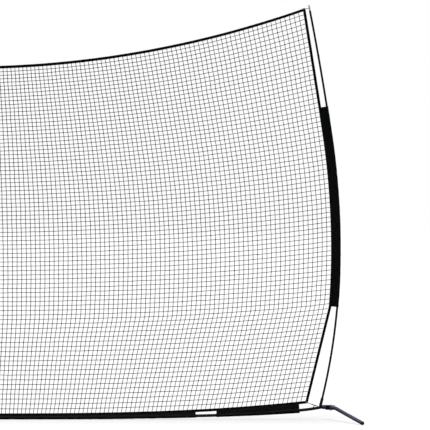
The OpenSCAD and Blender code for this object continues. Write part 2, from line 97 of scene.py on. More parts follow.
# Where the rows of stitches run: as shares of a tape's width, and of a hem's.
TAPE_SEAMS = (0.14, 0.86)
HEM_SEAM = 0.8
# A tape's section, as (share of its width, share of half its thickness), along one face.
TAPE_SECTION = ((0.0, 0.0), (0.012, 0.75), (0.05, 1.0), (0.12, 1.06), (0.25, 0.97), (0.5, 1.0), (0.75, 0.97),
                (0.88, 1.06), (0.95, 1.0), (0.988, 0.75), (1.0, 0.0))
# How far round its tube a sleeve's cloth lies before it runs straight to the tape.
ARC_END = math.radians(62)
# How quickly the net's columns take up the lean of its edges.
SPREAD = 2.2
# The view: a camera square to the net, far enough off to show it nearly flat.
CAMERA_X = 2.1715
CAMERA_Z = 1.7578
CAMERA_DISTANCE = 15.0
VIEW_WIDTH = 3.698
SENSOR_WIDTH = 36.0
# The stage and its light.
FLOOR_SIZE = 300.0
FLOOR_DROP = 0.0005
FLOOR_TONE = 0.34
FLOOR_BOUNCE = 0.05
SUN_POWER = 3.1
SUN_SPREAD = math.radians(22)
SUN_TURN = (math.radians(2), math.radians(-6), 0)
AMBIENT = 0.09
DUST = (0.20, 0.17, 0.14)

TUBE_LOW, TUBE_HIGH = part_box("base_middle_tube")
TUBE_RADIUS = (TUBE_HIGH.z - TUBE_LOW.z) / 2
BASE_DEPTH, BASE_HEIGHT = ((TUBE_HIGH + TUBE_LOW) / 2).yz


def walk(path, s):
    """Where a bent path is after a length s: x, z and heading."""
    x = z = heading = 0.0
    for step, (length, radius) in enumerate(path):
        part = s if step == len(path) - 1 else min(s, length)
        bend = part / radius if radius else 0.0
        dx, dz = (radius * math.sin(bend), radius * (1 - math.cos(bend))) if radius else (part, 0.0)
        x += dx * math.cos(heading) - dz * math.sin(heading)
        z += dx * math.sin(heading) + dz * math.cos(heading)
        heading += bend
        s -= part
        if s <= 0:
            break
    return x, z, heading


def base_at(x):
    """The base tube's height and heading at a distance x from the middle."""
    s = x
    for _ in range(5):
        s += x - walk(BASE_PATH, s)[0]
    return walk(BASE_PATH, s)


SOCKET_Z = base_at(SOCKET_X)[1]


def pole_at(s, inward=0.0):
    """The right pole after a length s: x, z and heading, moved inward from its centre."""
    x, z, heading = walk(POLE_PATH, s)
    x, z = x - math.sin(heading) * inward, z + math.cos(heading) * inward
    c, k = math.cos(SOCKET_SLOPE), math.sin(SOCKET_SLOPE)
    return SOCKET_X + x * c - z * k, SOCKET_Z + x * k + z * c, heading + SOCKET_SLOPE


def on_plane(x, z, off=0.0):
    """A point of the leaning plane; off is its distance behind the plane."""
    c, k = math.cos(LEAN), math.sin(LEAN)
    return Vector((x, BASE_DEPTH + off * c - z * k, BASE_HEIGHT + off * k + z * c))


def plane_way(x, z, off=0.0):
    """A direction of the leaning plane."""
    return on_plane(x, z, off) - on_plane(0, 0)


def off_tube(x, z, heading, inward, off):
    """A point beside a tube that runs through (x, z): inward from its centre, and off the plane."""
    return on_plane(x - math.sin(heading) * inward, z + math.cos(heading) * inward, off)


def top_z(x):
    """The net's top edge."""
    return TOP_MIDDLE + (TOP_CORNER.y - TOP_MIDDLE) * abs(x / TOP_CORNER.x) ** TOP_POWER


def low_z(x):
    """The net's bottom edge."""
    return LOW_MIDDLE + (LOW_CORNER.y - LOW_MIDDLE) * abs(x / LOW_CORNER.x) ** 3


def side_points():
    """The right edge of the net, from below its bottom corner to above its top one, as (z, x)."""
    inward, steps = SIDE_SLEEVE_WIDTH - TAPE_WIDTH, 16
    low, high = SIDE_SLEEVE
    edge = [Vector(pole_at(low + (high - low) * i / steps, inward)[:2]) for i in range(steps + 1)]
    foot = LOW_CORNER + (LOW_CORNER - edge[0]).normalized() * 0.160
    head = TOP_CORNER + (TOP_CORNER - edge[-1]).normalized() * 0.060
    return [(p.y, p.x) for p in [foot] + edge + [head]]


SIDE_POINTS = side_points()


def side_x(z):
    """How far out the net's edge is at a height z."""
    for (z0, x0), (z1, x1) in zip(SIDE_POINTS, SIDE_POINTS[1:]):
        if z <= z1:
            break
    return x0 + (x1 - x0) * (z - z0) / (z1 - z0)


def wander(seed, *place):
    """Smooth noise from -1 to 1."""
    p = (list(place) + [0.0, 0.0])[:2]
    return noise.noise(Vector((p[0], p[1], seed * 7.31)))


def step_up(value, low, high):
    """A smooth step from 0 at low to 1 at high."""
    t = min(max((value - low) / (high - low), 0.0), 1.0)
    return t * t * (3 - 2 * t)


# ---------------------------------------------------------------- modelling

def nothing_selected():
    if bpy.context.mode != "OBJECT":
        bpy.ops.object.mode_set(mode="OBJECT")
    bpy.ops.object.select_all(action="DESELECT")


def only(piece):
    nothing_selected()
    piece.select_set(True)
    bpy.context.view_layer.objects.active = piece


def edit(piece, *steps):
    """Runs edit-mode operators on the whole of a piece."""
    only(piece)
    bpy.ops.object.mode_set(mode="EDIT")
    bpy.ops.mesh.select_all(action="SELECT")
    for step in steps:
        step()
    bpy.ops.object.mode_set(mode="OBJECT")


def weld():
    bpy.ops.mesh.remove_doubles(threshold=0.00001)


def face_out():
    bpy.ops.mesh.normals_make_consistent(inside=False)


def close_ends():
    bpy.ops.mesh.select_all(action="DESELECT")
    bpy.ops.mesh.select_non_manifold(extend=False, use_wire=False, use_multi_face=False,
                                     use_non_contiguous=False, use_verts=False)
    bpy.ops.mesh.fill_holes(sides=0)
    bpy.ops.mesh.select_all(action="SELECT")


def settle(piece):
    """Puts a piece's place into its mesh."""
    only(piece)
    bpy.ops.object.transform_apply(location=True, rotation=True, scale=True)


def smooth(piece, angle=40):
    only(piece)
    bpy.ops.object.shade_smooth_by_angle(angle=math.radians(angle))


def modify(piece, kind, **settings):
    """Adds a modifier and applies it."""
    only(piece)
    change = piece.modifiers.new(kind.title(), kind)
    for key, value in settings.items():
        setattr(change, key, value)
    bpy.ops.object.modifier_apply(modifier=change.name)


def to_metres(piece, size):
    """Scales a UV map that runs from 0 to 1 to the piece's real length and girth."""
    for corner in piece.data.uv_layers.active.data:
        corner.uv = (corner.uv[0] * size[0], corner.uv[1] * size[1])


def lay_out(name, along, across, place, size):
    """Adds a grid and lays it out: place(u, v) is where a point goes, u along and v across. Its UV map
    is in metres, from size."""
    nothing_selected()
    bpy.ops.mesh.primitive_grid_add(x_subdivisions=along, y_subdivisions=across, size=1)
    piece = bpy.context.object
    piece.name = piece.data.name = name
    for point in piece.data.vertices:
        point.co = place(point.co.x + 0.5, point.co.y + 0.5)
    to_metres(piece, size)
    return piece


def repeat(name, model, spots):
    """One mesh of copies of a small model, one for each matrix, and the model is removed."""
    points = [v.co.copy() for v in model.data.vertices]
    faces = [list(f.vertices) for f in model.data.polygons]
    mesh = bpy.data.meshes.new(name)
    mesh.from_pydata([m @ p for m in spots for p in points], [],
                     [[k * len(points) + i for i in f] for k in range(len(spots)) for f in faces])
    piece = bpy.data.objects.new(name, mesh)
    bpy.context.scene.collection.objects.link(piece)
    bpy.data.objects.remove(model)
    only(piece)
    bpy.ops.object.shade_smooth()
    return piece


def bead(size):
    """A small rounded bead, to repeat."""
    nothing_selected()
    bpy.ops.mesh.primitive_ico_sphere_add(subdivisions=1, radius=0.5)
    model = bpy.context.object
    model.scale = size
    settle(model)
    return model


def stitches(name, lines, cloth):
    """Rows of stitches. A line is (points, outward), and a stitch lies along it."""
    pitch = cloth.stitch + cloth.stitch_gap
    spots = []
    for points, outward in lines:
        run = 0.0
        target = pitch / 2
        for a, b in zip(points, points[1:]):
            step = (b - a).length
            while run + step >= target:
                along = (b - a).normalized()
                rise = (outward - along * outward.dot(along)).normalized()
                turn = Matrix((along, rise.cross(along), rise)).transposed().to_4x4()
                spots.append(Matrix.Translation(a + along * (target - run)) @ turn)
                target += pitch
            run += step
    return repeat(name, bead((cloth.stitch, cloth.thread, cloth.thread * 0.8)), spots)


def carry(piece, material, body="frame", instead_of=()):
    """Gives a piece its material, and its place in the frame."""
    piece.data.materials.clear()
    piece.data.materials.append(material)
    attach(piece, body)
    if instead_of:
        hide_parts(*instead_of)
    return piece


# ---------------------------------------------------------------- materials

class Finish:
    """A material and short ways to build its nodes."""

    def __init__(self, name, colour, rough, metal=0.0, gloss=0.5):
        self.material = bpy.data.materials.new(name)
        self.material.use_nodes = True
        self.tree = self.material.node_tree
        self.shader = self.tree.nodes["Principled BSDF"]
        self.colour = tuple(colour[:3])
        self.set("Roughness", rough)
        self.set("Metallic", metal)
        self.set("Specular IOR Level", gloss)
        self.set("Base Color", (*self.colour, 1))

    def set(self, socket, value):
        if isinstance(value, bpy.types.NodeSocket):
            self.tree.links.new(value, self.shader.inputs[socket])
        else:
            self.shader.inputs[socket].default_value = value

    def node(self, kind, inputs=(), **settings):
        made = self.tree.nodes.new(kind)
        for key, value in settings.items():
            setattr(made, key, value)
        for key, value in dict(inputs).items():
            if isinstance(value, bpy.types.NodeSocket):
                self.tree.links.new(value, made.inputs[key])
            else:
                made.inputs[key].default_value = value
        return made

    def place(self, source="Object", scale=(1, 1, 1), turn=(0, 0, 0)):
        origin = self.node("ShaderNodeTexCoord").outputs[source]
        return self.node("ShaderNodeMapping", {"Vector": origin, "Scale": scale, "Rotation": turn}).outputs[0]

    def cloud(self, where, scale, detail=3.0, rough=0.5):
        inputs = {"Vector": where, "Scale": scale, "Detail": detail, "Roughness": rough}
        return self.node("ShaderNodeTexNoise", inputs).outputs["Fac"]

    def wave(self, where, scale, direction="X", twist=0.0):
        inputs = {"Vector": where, "Scale": scale, "Distortion": twist, "Detail": 1.0}
        return self.node("ShaderNodeTexWave", inputs, bands_direction=direction).outputs["Fac"]

    def math(self, operation, a, b=0.0):
        return self.node("ShaderNodeMath", {0: a, 1: b}, operation=operation).outputs[0]

    def spread(self, value, low, high, out_low=0.0, out_high=1.0):
        inputs = {"Value": value, "From Min": low, "From Max": high, "To Min": out_low, "To Max": out_high}
        return self.node("ShaderNodeMapRange", inputs).outputs[0]

    def blend(self, amount, a, b):
        made = self.node("ShaderNodeMix", {"Factor": amount}, data_type="RGBA")
        for key, value in ((6, a), (7, b)):
            if isinstance(value, bpy.types.NodeSocket):
                self.tree.links.new(value, made.inputs[key])
            else:
                made.inputs[key].default_value = (*value[:3], 1)
        return made.outputs[2]

    def bump(self, height, strength, depth, below=None):
        inputs = {"Height": height, "Strength": strength, "Distance": depth}
        if below is not None:
            inputs["Normal"] = below
        return self.node("ShaderNodeBump", inputs).outputs[0]


def shade(colour, factor):
    return tuple(min(c * factor, 1.0) for c in colour[:3])


def powder_coat(name, colour, rough=0.45, gloss=0.08):
    """Satin powder coat: fine orange peel, cloudy sheen, faint rubbed streaks and dust low down."""
    f = Finish(name, colour, rough, gloss=gloss)
    where = f.place()
    patches = f.cloud(where, 9.0, 4.0, 0.6)
    scuffs = f.spread(f.cloud(f.place(scale=(6, 60, 60)), 4.0, 6.0, 0.7), 0.60, 0.74)
    tone = f.blend(f.spread(patches, 0.3, 0.7), shade(colour, 0.82), shade(colour, 1.18))
    worn = f.blend(f.math("MULTIPLY", scuffs, 0.35), tone, shade(colour, 2.6))
    height = f.node("ShaderNodeSeparateXYZ", {0: f.node("ShaderNodeTexCoord").outputs["Object"]}).outputs[2]
    dust = f.math("MULTIPLY", f.spread(height, 0.0, 0.09, 0.05, 0.0), patches)
    f.set("Base Color", f.blend(dust, worn, DUST))
    f.set("Roughness", f.spread(patches, 0.25, 0.75, rough - 0.07, rough + 0.10))
    peel = f.cloud(where, 950.0, 2.0, 0.5)
    f.set("Normal", f.bump(scuffs, 0.12, 0.0003, f.bump(peel, 0.10, 0.0004)))
    return f.material


def pole_gloss(name, colour):
    """Wrapped glass-fibre pole: fine lengthways fibres under a smooth resin."""
    f = Finish(name, colour, 0.36, gloss=0.08)
    fibres = f.cloud(f.place(scale=(900, 900, 12)), 1.0, 3.0, 0.6)
    patches = f.cloud(f.place(), 14.0, 3.0)
    f.set("Base Color", f.blend(f.spread(fibres, 0.35, 0.65), shade(colour, 0.8), shade(colour, 1.5)))
    f.set("Roughness", f.spread(patches, 0.3, 0.7, 0.28, 0.42))
    f.set("Normal", f.bump(fibres, 0.10, 0.0002))
    return f.material


def bare_metal(name, colour, rough, scale=(400, 400, 40)):
    """Plated or turned metal: fine brushing, dull patches and small pits."""
    f = Finish(name, colour, rough, metal=1.0)
    brushed = f.cloud(f.place(scale=scale), 1.0, 4.0, 0.6)
    patches = f.cloud(f.place(), 60.0, 4.0, 0.6)
    pits = f.spread(f.cloud(f.place(), 700.0, 2.0), 0.62, 0.72)
    tone = f.blend(f.spread(patches, 0.3, 0.7), shade(colour, 0.78), shade(colour, 1.12))
    f.set("Base Color", f.blend(f.math("MULTIPLY", pits, 0.5), tone, shade(colour, 0.45)))
    f.set("Roughness", f.spread(brushed, 0.2, 0.8, rough - 0.08, rough + 0.14))
    f.set("Normal", f.bump(brushed, 0.12, 0.0002))
    return f.material


def moulded(name, colour):
    """Moulded plastic: a fine spark texture and a little scuffing."""
    f = Finish(name, colour, 0.55, gloss=0.15)
    grain = f.cloud(f.place(), 1600.0, 2.0)
    patches = f.cloud(f.place(), 45.0, 4.0, 0.6)
    f.set("Base Color", f.blend(f.spread(patches, 0.35, 0.7), shade(colour, 0.85), shade(colour, 1.6)))
    f.set("Roughness", f.spread(patches, 0.3, 0.7, 0.48, 0.64))
    f.set("Normal", f.bump(grain, 0.25, 0.0003))
    return f.material


def sleeve_cloth(name, colour):
    """Coated woven polyester: a plain weave, faint creases, and paler crests on the fold bump, a painted
    highlight on the creases.
    """
    f = Finish(name, colour, 0.85, gloss=0.05)
    where = f.place("UV")
    warp = f.wave(where, 420.0, "X")
    weft = f.wave(where, 420.0, "Y")
    weave = f.math("MULTIPLY", warp, weft)
    folds = f.cloud(f.place(scale=(7, 7, 16)), 3.0, 5.0, 0.6)
    tone = f.blend(f.spread(weave, 0.0, 0.8), shade(colour, 0.7), shade(colour, 1.35))
    # Paler where the fold bump rises: painted highlight on the crests of the creases.
    f.set("Base Color", f.blend(f.spread(folds, 0.52, 0.8, 0.0, 0.35), tone, shade(colour, 2.4)))
    f.set("Roughness", f.spread(folds, 0.3, 0.7, 0.76, 0.92))
    f.set("Normal", f.bump(folds, 0.25, 0.002, f.bump(weave, 0.35, 0.0003)))
    f.set("Sheen Weight", 0.02)
    f.set("Sheen Roughness", 0.5)
    return f.material


def tape_weave(name, colour):
    """Woven tape: ribs across it, a chevron along it and denser edges."""
    f = Finish(name, colour, 0.8, gloss=0.04)
    where = f.place("UV")
    ribs = f.wave(where, 260.0, "X", 0.4)
    slant = f.wave(f.place("UV", turn=(0, 0, math.radians(35))), 330.0, "Y")
    weave = f.math("ADD", f.math("MULTIPLY", ribs, 0.6), f.math("MULTIPLY", slant, 0.4))
    wear = f.cloud(f.place(), 30.0, 5.0, 0.65)
    tone = f.blend(weave, shade(colour, 0.6), shade(colour, 1.5))
    f.set("Base Color", f.blend(f.spread(wear, 0.5, 0.8, 0.0, 0.3), tone, shade(colour, 2.6)))
    f.set("Roughness", f.spread(wear, 0.3, 0.7, 0.70, 0.9))
    f.set("Normal", f.bump(weave, 0.5, 0.0004))
    f.set("Sheen Weight", 0.01)
    f.set("Sheen Roughness", 0.5)
    return f.material


def twine(name, colour, source="UV", ply=150.0):
    """Twisted net twine: slanting plies, a little fuzz, and colour that varies from bar to bar."""
    f = Finish(name, colour, 0.75, gloss=0.03)
    plies = f.wave(f.place(source, turn=(0, 0, math.radians(40))), ply, "X", 0.3)
    bars = f.cloud(f.place(), 24.0, 2.0)
    fuzz = f.cloud(f.place(), 1800.0, 2.0)
    tone = f.blend(f.spread(bars, 0.3, 0.7), shade(colour, 0.65), shade(colour, 1.4))
    f.set("Base Color", f.blend(f.math("MULTIPLY", plies, 0.4), tone, shade(colour, 0.45)))
    f.set("Roughness", f.spread(fuzz, 0.3, 0.7, 0.66, 0.84))
    f.set("Normal", f.bump(fuzz, 0.2, 0.0003, f.bump(plies, 0.5, 0.0006)))
    return f.material


def thread(name, colour):
    """Sewing thread, a little paler where it is rubbed."""
    f = Finish(name, colour, 0.6, gloss=0.25)
    rubbed = f.cloud(f.place(), 12.0, 5.0, 0.7)
    twist = f.cloud(f.place(scale=(1, 1, 3)), 1500.0, 2.0)
    f.set("Base Color", f.blend(f.spread(rubbed, 0.42, 0.72), shade(colour, 0.7), shade(colour, 2.2)))
    f.set("Roughness", f.spread(rubbed, 0.3, 0.7, 0.5, 0.72))
    f.set("Normal", f.bump(twist, 0.3, 0.0003))
    return f.material


def braid(name, colour, fleck):
    """Braided elastic cord: a pale sheath with crossing strands and dark flecks."""
    f = Finish(name, colour, 0.7, gloss=0.25)
    over = f.wave(f.place("UV", turn=(0, 0, math.radians(35))), 95.0, "X")
    under = f.wave(f.place("UV", turn=(0, 0, math.radians(-35))), 95.0, "X")
    weave = f.math("MAXIMUM", over, under)
    grime = f.cloud(f.place(), 55.0, 4.0, 0.6)
    marks = f.spread(f.math("MULTIPLY", over, under), 0.72, 0.85)
    tone = f.blend(weave, shade(colour, 0.6), colour)
    tone = f.blend(f.spread(grime, 0.45, 0.75, 0.0, 0.5), tone, shade(colour, 0.5))
    f.set("Base Color", f.blend(f.math("MULTIPLY", marks, 0.8), tone, fleck))
    f.set("Roughness", f.spread(grime, 0.3, 0.7, 0.62, 0.8))
    f.set("Normal", f.bump(weave, 0.5, 0.0005))
    return f.material


def eye_rays(tree):
    """One for rays from the camera, off metal or through glass, and nought for the others."""
    path = tree.nodes.new("ShaderNodeLightPath")
    shown = path.outputs["Is Camera Ray"]
    for ray in ("Is Glossy Ray", "Is Transmission Ray"):
        either = tree.nodes.new("ShaderNodeMath")
        either.operation = "MAXIMUM"
        tree.links.new(shown, either.inputs[0])
        tree.links.new(path.outputs[ray], either.inputs[1])
        shown = either.outputs[0]
    return shown


def white_to_the_eye(name, colour, bounce):
    """The floor: it looks white to the camera, in metal and through glass, keeps the object's shadow, and
    throws back less light than it shows."""
    material = bpy.data.materials.new(name)
    material.use_nodes = True
    tree = material.node_tree
    tree.nodes.clear()
    low = tree.nodes.new("ShaderNodeBsdfDiffuse")
    low.inputs[0].default_value = (bounce, bounce, bounce, 1)
    speckle = tree.nodes.new("ShaderNodeTexNoise")
    speckle.inputs["Scale"].default_value = 0.7
    tint = tree.nodes.new("ShaderNodeMix")
    tint.data_type = "RGBA"
    tint.inputs[6].default_value = (colour * 0.98, colour * 0.98, colour * 0.98, 1)
    tint.inputs[7].default_value = (colour, colour, colour, 1)
    tree.links.new(speckle.outputs["Fac"], tint.inputs[0])
    shown = tree.nodes.new("ShaderNodeBsdfDiffuse")
    tree.links.new(tint.outputs[2], shown.inputs[0])
    glow = tree.nodes.new("ShaderNodeEmission")
    glow.inputs[1].default_value = 1.03 - colour
    both = tree.nodes.new("ShaderNodeAddShader")
    pick = tree.nodes.new("ShaderNodeMixShader")
    out = tree.nodes.new("ShaderNodeOutputMaterial")
    tree.links.new(shown.outputs[0], both.inputs[0])
    tree.links.new(glow.outputs[0], both.inputs[1])
    tree.links.new(eye_rays(tree), pick.inputs[0])
    tree.links.new(low.outputs[0], pick.inputs[1])
    tree.links.new(both.outputs[0], pick.inputs[2])
    tree.links.new(pick.outputs[0], out.inputs[0])
    return material


def studio_world(scene):
    """A white backdrop to the eye, over a low even light on the object."""
    world = bpy.data.worlds.new("studio")
    scene.world = world
    world.use_nodes = True
    tree = world.node_tree
    tree.nodes.clear()
    pick = tree.nodes.new("ShaderNodeMixShader")
    tree.links.new(eye_rays(tree), pick.inputs[0])
    for socket, strength in ((1, AMBIENT), (2, 1.0)):
        sky = tree.nodes.new("ShaderNodeBackground")
        sky.inputs[0].default_value = (1, 1, 1, 1)
        sky.inputs[1].default_value = strength
        tree.links.new(sky.outputs[0], pick.inputs[socket])
    tree.links.new(pick.outputs[0], tree.nodes.new("ShaderNodeOutputWorld").inputs[0])


# ---------------------------------------------------------------- sizes and colours

def metres(name, description, default, low, high):
    return bpy.props.FloatProperty(name=name, description=description, default=default, min=low, max=high,
                                   unit="LENGTH", subtype="DISTANCE", precision=5)


def colour(name, description, default):
    return bpy.props.FloatVectorProperty(name=name, description=description, default=default, size=3,
                                         min=0.0, max=1.0, subtype="COLOR")


class NetSizes(bpy.types.PropertyGroup):
    """Sizes of the knotted mesh and its tapes"""
    columns: bpy.props.IntProperty(name="Columns", description="Openings across the net", default=160,
                                   min=20, max=240)
    rows: bpy.props.IntProperty(name="Rows", description="Openings up the net", default=82, min=10, max=120)
    twine: metres("Twine", "Thickness of the net's twine", 0.0054, 0.001, 0.008)
    knot: metres("Knot", "Width of a knot", 0.0112, 0.002, 0.015)
    unevenness: metres("Unevenness", "How far a knot strays from its place", 0.0016, 0.0, 0.005)
    caught: metres("Caught", "How far the net's strands reach into the tape", 0.004, 0.0, 0.012)
    tape_width: metres("Tape Width", "Width of the tape round the net", TAPE_WIDTH, 0.01, 0.04)


class ClothSizes(bpy.types.PropertyGroup):
    """Sizes of the sewn sleeves"""
    thickness: metres("Cloth Thickness", "Thickness of the sleeve cloth", 0.0012, 0.0005, 0.003)
    slack: metres("Slack", "Gap between a sleeve and what it holds", 0.0008, 0.0002, 0.005)
    crease: metres("Crease", "Height of the creases in the sleeves", 0.0045, 0.0, 0.01)
    hem: metres("Hem", "Width of the hem at the end of a sleeve", 0.018, 0.005, 0.04)
    sag: metres("Sag", "How far the outer end of a base sleeve hangs below its tube", 0.008, 0.0, 0.02)
    stitch: metres("Stitch", "Length of a stitch", 0.0045, 0.001, 0.01)
    stitch_gap: metres("Stitch Gap", "Gap between stitches", 0.0020, 0.0005, 0.01)
    thread: metres("Thread", "Thickness of the sewing thread", 0.0009, 0.0002, 0.003)


class CordSizes(bpy.types.PropertyGroup):
    """Sizes of the elastic loops"""
    elastic: metres("Elastic", "Thickness of the elastic cord", 0.005, 0.002, 0.008)
    upper_whipping: metres("Upper Whipping", "Length of the thread round the join of an upper loop", 0.008,
                           0.003, 0.02)
    lower_whipping: metres("Lower Whipping", "Length of the thread round the hook end of a lower loop", 0.076,
                           0.02, 0.1)
    whipping_turn: metres("Whipping Turn", "Width of one turn of the whipping", 0.0010, 0.0004, 0.003)


class Colours(bpy.types.PropertyGroup):
    """Colours of the finishes"""
    tube: colour("Tube", "Powder coat of the base tubes", (0.0045, 0.0045, 0.005))
    leg: colour("Leg", "Powder coat of the legs and hubs", (0.122, 0.128, 0.190))
    pole: colour("Pole", "Poles", (0.004, 0.004, 0.0045))
    tip: colour("Tip", "Metal tips of the poles", (0.30, 0.29, 0.265))
    zinc: colour("Zinc", "Plated bolts, nuts and buttons", (0.58, 0.59, 0.61))
    hook: colour("Hook", "Hooks and grommets", (0.055, 0.055, 0.056))
    plastic: colour("Plastic", "Caps and tips of the feet", (0.010, 0.010, 0.011))
    twine: colour("Twine", "Net twine", (0.075, 0.038, 0.070))
    cloth: colour("Cloth", "Sleeve cloth", (0.0200, 0.0215, 0.0220))
    tape: colour("Tape", "Woven tape", (0.0100, 0.0100, 0.0104))
    thread: colour("Thread", "Sewing thread", (0.012, 0.011, 0.011))
    elastic: colour("Elastic", "Elastic cord", (0.72, 0.69, 0.58))
    fleck: colour("Fleck", "Dark threads in the elastic's braid", (0.20, 0.19, 0.17))
    whipping: colour("Whipping", "Thread round the hook end of the lower loops", (0.012, 0.012, 0.011))


# ---------------------------------------------------------------- pieces

def net_spot(u, v):
    """A knot's place: u from -1 to 1 across, v from 0 to 1 up. Columns lean as the edges do, and rows
    follow the bottom edge low down and the top edge high up."""
    rise = TOP_CORNER.y - LOW_CORNER.y
    z_edge = LOW_CORNER.y + rise * v
    reach = side_x(z_edge)
    widest = max(x for z, x in SIDE_POINTS)
    lean = math.tanh(SPREAD * u) / math.tanh(SPREAD)
    x = u * widest + (reach - widest) * lean
    up, down = v ** 1.7, (1 - v) ** 1.7
    low, high = low_z(x), top_z(x)
    z = (z_edge - (TOP_CORNER.y - TOP_MIDDLE) * up - (LOW_CORNER.y - LOW_MIDDLE) * down
         + (high - TOP_MIDDLE) * up + (low - LOW_MIDDLE) * down)
    return x, z


def net_grid(name, net):
    """A grid with a point at each knot. Its border is caught in the inner edge of the tapes."""
    margin = net.tape_width - net.caught

    def place(u, v):
        x, z = net_spot(2 * u - 1, v)
        x -= (2 * u - 1) * margin
        z += (1 - 2 * v) * margin
        openings_in = min(min(u, 1 - u) * net.columns, min(v, 1 - v) * net.rows)
        stray = net.unevenness * step_up(openings_in, 0.0, 2.0)
        return on_plane(x + stray * wander(1, u * 61, v * 47) * 1.6 + stray * 2.0 * wander(2, u * 9, v * 6),
                        z + stray * wander(3, u * 57, v * 53) * 1.6 + stray * 2.0 * wander(4, u * 8, v * 7),
                        0.0012 * wander(5, u * 70, v * 50))

    return lay_out(name, net.columns, net.rows, place, (1, 1))


def strand_set(name, net, across):
    """The strands of the net that run one way, as tubes along the grid's edges."""
    piece = net_grid(name, net)
    mesh = piece.data
    side = net.columns + 1
    only(piece)
    bpy.ops.object.mode_set(mode="EDIT")
    bpy.ops.mesh.select_mode(type="EDGE")
    bpy.ops.mesh.select_all(action="DESELECT")
    bpy.ops.object.mode_set(mode="OBJECT")
    for e in mesh.edges:
        a, b = e.vertices
        is_across = abs(a - b) == 1
        border = (a % side in (0, side - 1) and b % side in (0, side - 1)) if not is_across else (
            a // side in (0, net.rows) and b // side in (0, net.rows))
        e.select = is_across != across or border
    bpy.ops.object.mode_set(mode="EDIT")
    bpy.ops.mesh.delete(type="EDGE")
    bpy.ops.mesh.select_mode(type="VERT")
    bpy.ops.object.mode_set(mode="OBJECT")
    bpy.ops.object.convert(target="CURVE")
    piece = bpy.context.object
    piece.data.bevel_depth = net.twine / 2
    piece.data.bevel_resolution = 1
    piece.data.use_fill_caps = True
    bpy.ops.object.convert(target="MESH")
    piece = bpy.context.object
    piece.name = piece.data.name = name
    to_metres(piece, (2 * TOP_CORNER[0] if across else TOP_MIDDLE - LOW_MIDDLE, math.pi * net.twine))
    edit(piece, face_out)
    only(piece)
    bpy.ops.object.shade_smooth()
    return piece


def tape(name, outer, inner, count, length, seed, net):
    """A woven tape between two edges; outer(u) and inner(u) are (x, z) in the net's plane."""
    ring = list(TAPE_SECTION)
    ring += [(w, -t) for w, t in reversed(ring[1:-1])]
    across = len(ring)

    def place(u, v):
        w, t = ring[round(v * across) % across]
        a, b = Vector(outer(u)), Vector(inner(u))
        pucker = 1 + 0.05 * wander(seed, u * length * 90, w * 3)
        edge = 0.0005 * wander(seed + 1, u * length * 25, w * 2)
        p = a.lerp(b, w)
        shift = (a - b).normalized() * edge
        off = TAPE_HALF * t * pucker + 0.0006 * wander(seed + 2, u * length * 7)
        return on_plane(p.x + shift.x, p.y + shift.y, off)

    piece = lay_out(name, count, across, place, (length, 2 * net.tape_width))
    edit(piece, weld, close_ends, face_out)
    smooth(piece, 60)
    return piece


def tape_lines(outer, inner, count, insets):
    """Rows for stitches along a tape, on both of its faces."""
    lines = []
    for w in insets:
        for face in (-1, 1):
            points = []
            for i in range(count + 1):
                a, b = Vector(outer(i / count)), Vector(inner(i / count))
                p = a.lerp(b, w)
                points.append(on_plane(p.x, p.y, face * (TAPE_HALF + 0.00005)))
            lines.append((points, plane_way(0, 0, face)))
    return lines


def fold_at(p, radius, gap, neck, sewn):
    """Half of a sleeve's section, p from 0 at the back of its fold to 1 at its sewn edge: how far it is
    off the plane and inward from the tube's centre, and which way it faces."""
    arc = radius * (math.pi / 2 + ARC_END)
    start = Vector((radius * math.cos(ARC_END), radius * math.sin(ARC_END)))
    stop = Vector((gap, neck))
    slope = (stop - start).length
    s = p * (arc + slope + sewn - neck)
    if s < arc:
        a = s / radius - math.pi / 2
        out = Vector((math.cos(a), math.sin(a)))
        return out * radius, out
    s -= arc
    if s < slope:
        way = (stop - start).normalized()
        return start + way * s, Vector((way.y, -way.x))
    return Vector((gap, neck + s - slope)), Vector((1, 0))


def crease(along, p, seed):
    """Sharp-backed creases that run across a sleeve at a slant, from 0 to 1."""
    slant = noise.noise(Vector((along * 11 + p * 2.2, p * 1.1, seed)))
    cross = noise.noise(Vector((along * 17 - p * 2.6, p * 1.4, seed + 9)))
    soft = noise.noise(Vector((along * 3.0, p * 0.8, seed + 17)))
    return (1 - abs(slant) * 2.2) ** 2 * 0.55 + (1 - abs(cross) * 2.2) ** 2 * 0.25 + soft * 0.4


def sewn_gap(cloth):
    """How far a sleeve's cloth lies from the plane where it is sewn to the tape."""
    return TAPE_HALF + cloth.thickness / 2 + 0.0002


def hang(spot, sag):
    """Lets the part of a sleeve's section below its tube hang by sag."""
    if sag:
        spot.y -= sag * step_up(-spot.y, -0.004, 0.010)
    return spot


def sleeve(name, station, length, count, around, seed, cloth):
    """A sleeve folded round a tube and sewn to both faces of a tape. station(u) is (x, z, heading,
    radius, neck, sewn, sag)."""
    gap = sewn_gap(cloth)

    def place(u, v):
        x, z, heading, radius, neck, sewn, sag = station(u)
        side = 1 if v > 0.5 else -1
        p = abs(2 * v - 1)
        spot, facing = fold_at(p, radius, gap, neck, sewn)
        from_end = min(u, 1 - u) * length
        hem = 1 - step_up(from_end, cloth.hem - 0.0015, cloth.hem + 0.0015)
        loose = math.sin(math.pi * min(p * 1.04, 1.0)) ** 0.7 if p < 0.96 else 0.0
        ridge = max(crease(u * length, p * side, seed), -0.2)
        lift = cloth.crease * ridge * (0.25 + 0.75 * loose) * (1 - step_up(p, 0.80, 0.95))
        lift = max(lift, -0.0002) + 0.0007 * hem * (1 - step_up(p, 0.84, 0.92))
        spot = hang(spot + facing * lift, sag)
        point = off_tube(x, z, heading, spot.y, side * spot.x)
        point.z = max(point.z, cloth.thickness / 2 + 0.0001)
        return point

    girth = 2 * cloth_half(station(0.5), gap)
    piece = lay_out(name, count, 2 * around, place, (length, girth))
    modify(piece, "SOLIDIFY", thickness=cloth.thickness, offset=0.0)
    edit(piece, face_out)
    smooth(piece, 70)
    return piece, girth


